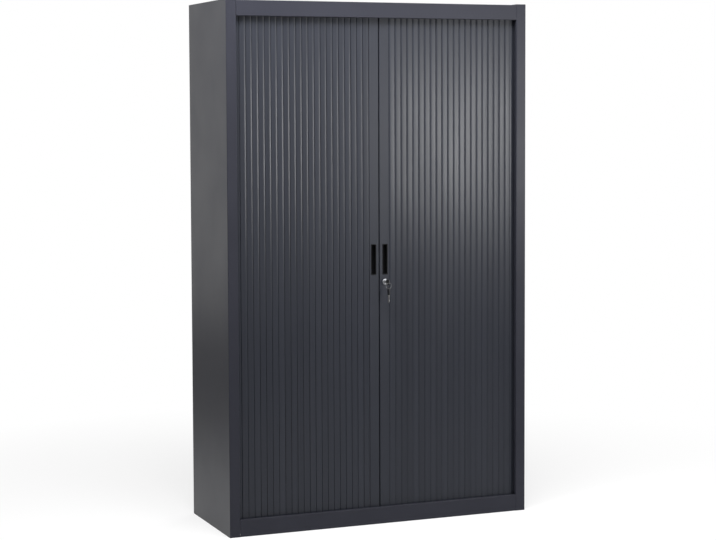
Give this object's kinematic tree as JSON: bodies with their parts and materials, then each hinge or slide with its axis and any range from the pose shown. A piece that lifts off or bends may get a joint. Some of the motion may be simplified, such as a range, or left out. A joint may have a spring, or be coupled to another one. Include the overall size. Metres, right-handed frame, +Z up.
{
  "type": "roll front tool cabinet",
  "caption": "Tall steel cabinet with roller curtains of upright slats that part in the middle, recessed pulls, a hook lock with keys, adjustable shelves and levelling feet.",
  "frame": {"origin": "on the floor under the middle of the steel carcass; the keys that hang from the lock stand 24 mm in front of the carcass, so the middle of the bounding box lies about 10 mm ahead of it", "axes": "+Z up, +X to the right of someone facing the doors, doors on the -Y side"},
  "size_m": [1.2, 0.473, 1.95],
  "materials": {
    "carcass_paint": "fine-textured anthracite powder coat",
    "rail_paint": "smooth anthracite powder coat",
    "slat_plastic": "extruded anthracite plastic, satin",
    "track_plastic": "extruded black plastic, satin",
    "black_plastic": "moulded black plastic, fine grain",
    "zinc_steel": "bright zinc plate",
    "lock_chrome": "polished chrome plate",
    "key_steel": "nickel plate",
    "key_plastic": "moulded black plastic",
    "stop_rubber": "black rubber",
    "foot_plastic": "moulded black plastic"
  },
  "bodies": {
    "carcass": {"side_panel_left": "carcass_paint", "side_panel_right": "carcass_paint", "top_panel": "carcass_paint", "front_plinth": "carcass_paint", "base_pan": "carcass_paint", "head_pan": "carcass_paint", "back_panel": "carcass_paint", "back_rivets": "zinc_steel", "floor_panel": "carcass_paint", "ceiling_panel": "carcass_paint", "access_caps": "black_plastic", "side_liner_left": "carcass_paint", "side_liner_right": "carcass_paint", "inner_back": "carcass_paint", "shelf_1": "carcass_paint", "shelf_2": "carcass_paint", "shelf_3": "carcass_paint", "shelf_4": "carcass_paint", "shelf_clips": "zinc_steel", "lower_track_left": "track_plastic", "lower_track_right": "track_plastic", "upper_track_left": "track_plastic", "upper_track_right": "track_plastic", "track_stops": "stop_rubber", "leveller_brackets": "zinc_steel", "leveller_nuts": "zinc_steel"},
    "left_door": {"leading_rail_left": "rail_paint", "rail_shoes_left": "track_plastic", "handle_pull_left": "black_plastic", "striker_plate": "zinc_steel", "striker_rivets": "zinc_steel", "curtain_left": "slat_plastic"},
    "right_door": {"leading_rail_right": "rail_paint", "rail_shoes_right": "track_plastic", "handle_pull_right": "black_plastic", "lock_housing": "lock_chrome", "lock_nut": "zinc_steel", "curtain_right": "slat_plastic"},
    "lock_core": {"lock_plug": "lock_chrome", "lock_hook": "zinc_steel", "hook_screw": "zinc_steel", "key_blade": "key_steel", "key_head": "key_plastic"},
    "ring": {"key_ring": "key_steel"},
    "spare_key": {"spare_key_blade": "key_steel", "spare_key_head": "key_plastic"},
    "front_left_pad": {"foot_pad_front_left": "foot_plastic"},
    "front_left_spindle": {"foot_spindle_front_left": "zinc_steel"},
    "front_right_pad": {"foot_pad_front_right": "foot_plastic"},
    "front_right_spindle": {"foot_spindle_front_right": "zinc_steel"},
    "back_left_pad": {"foot_pad_back_left": "foot_plastic"},
    "back_left_spindle": {"foot_spindle_back_left": "zinc_steel"},
    "back_right_pad": {"foot_pad_back_right": "foot_plastic"},
    "back_right_spindle": {"foot_spindle_back_right": "zinc_steel"}
  },
  "joints": [
    {"name": "left_door_slide", "type": "slide", "parent": "carcass", "child": "left_door", "axis": [-1, 0, 0], "range_m": [0, 0.5], "deforming": ["curtain_left"]},
    {"name": "right_door_slide", "type": "slide", "parent": "carcass", "child": "right_door", "axis": [1, 0, 0], "range_m": [0, 0.5], "deforming": ["curtain_right"]},
    {"name": "key_turn", "type": "hinge", "parent": "right_door", "child": "lock_core", "pos_m": [0.024, -0.2073, 0.91], "axis": [0, 1, 0], "range_deg": [0, 90]},
    {"name": "ring_swing", "type": "hinge", "parent": "lock_core", "child": "ring", "pos_m": [0.024, -0.237, 0.9084], "axis": [0, 1, 0], "range_deg": [-45, 0]},
    {"name": "spare_key_swing", "type": "hinge", "parent": "ring", "child": "spare_key", "pos_m": [0.024, -0.237, 0.8864], "axis": [0, 1, 0], "range_deg": [-45, 0]},
    {"name": "front_left_foot_drop", "type": "slide", "parent": "carcass", "child": "front_left_pad", "axis": [0, 0, -1], "range_m": [0, 0.015]},
    {"name": "front_left_foot_screw", "type": "hinge", "parent": "front_left_pad", "child": "front_left_spindle", "pos_m": [-0.545, -0.15, 0.02], "axis": [0, 0, -1], "range_deg": [0, 3600]},
    {"name": "front_right_foot_drop", "type": "slide", "parent": "carcass", "child": "front_right_pad", "axis": [0, 0, -1], "range_m": [0, 0.015]},
    {"name": "front_right_foot_screw", "type": "hinge", "parent": "front_right_pad", "child": "front_right_spindle", "pos_m": [0.545, -0.15, 0.02], "axis": [0, 0, -1], "range_deg": [0, 3600]},
    {"name": "back_left_foot_drop", "type": "slide", "parent": "carcass", "child": "back_left_pad", "axis": [0, 0, -1], "range_m": [0, 0.015]},
    {"name": "back_left_foot_screw", "type": "hinge", "parent": "back_left_pad", "child": "back_left_spindle", "pos_m": [-0.545, 0.16, 0.02], "axis": [0, 0, -1], "range_deg": [0, 3600]},
    {"name": "back_right_foot_drop", "type": "slide", "parent": "carcass", "child": "back_right_pad", "axis": [0, 0, -1], "range_m": [0, 0.015]},
    {"name": "back_right_foot_screw", "type": "hinge", "parent": "back_right_pad", "child": "back_right_spindle", "pos_m": [0.545, 0.16, 0.02], "axis": [0, 0, -1], "range_deg": [0, 3600]}
  ],
  "couplings": [
    {"joint": "ring_swing", "follows": "key_turn", "ratio": -0.5},
    {"joint": "spare_key_swing", "follows": "key_turn", "ratio": -0.5},
    {"joint": "front_left_foot_screw", "follows": "front_left_foot_drop", "rad_per_m": 4188.8},
    {"joint": "front_right_foot_screw", "follows": "front_right_foot_drop", "rad_per_m": 4188.8},
    {"joint": "back_left_foot_screw", "follows": "back_left_foot_drop", "rad_per_m": 4188.8},
    {"joint": "back_right_foot_screw", "follows": "back_right_foot_drop", "rad_per_m": 4188.8}
  ]
}
